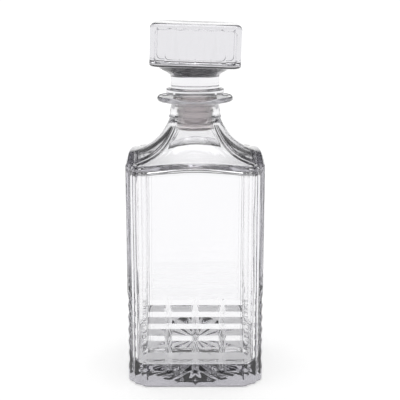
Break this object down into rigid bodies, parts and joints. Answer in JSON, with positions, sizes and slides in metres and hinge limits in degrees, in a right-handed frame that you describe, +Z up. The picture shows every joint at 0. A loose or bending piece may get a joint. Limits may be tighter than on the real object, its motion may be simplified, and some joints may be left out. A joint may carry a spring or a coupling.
{
  "type": "decanter",
  "caption": "Square cut-glass decanter with brick and leaf cuts, flared lip and a square glass stopper in a ribbed seal.",
  "frame": {"origin": "centre of the base, on the surface it stands on", "axes": "+Z up through the neck, -Y out of the front face, +X to the right of the front face"},
  "size_m": [0.095, 0.095, 0.2514],
  "materials": {
    "body_glass": "clear, polished, cut and pressed",
    "stopper_glass": "clear, polished, pressed",
    "seal_plastic": "translucent smoke-tinted polyethylene, satin"
  },
  "bodies": {
    "bottle": {"decanter_body": "body_glass"},
    "seal": {"stopper_seal": "seal_plastic"},
    "stopper": {"stopper": "stopper_glass"}
  },
  "joints": [
    {"name": "stopper_lift", "type": "slide", "parent": "bottle", "child": "seal", "axis": [0, 0, 1], "range_m": [0, 0.09]},
    {"name": "stopper_turn", "type": "hinge", "parent": "seal", "child": "stopper", "pos_m": [0, 0, 0.19], "axis": [0, 0, 1], "continuous": true}
  ]
}
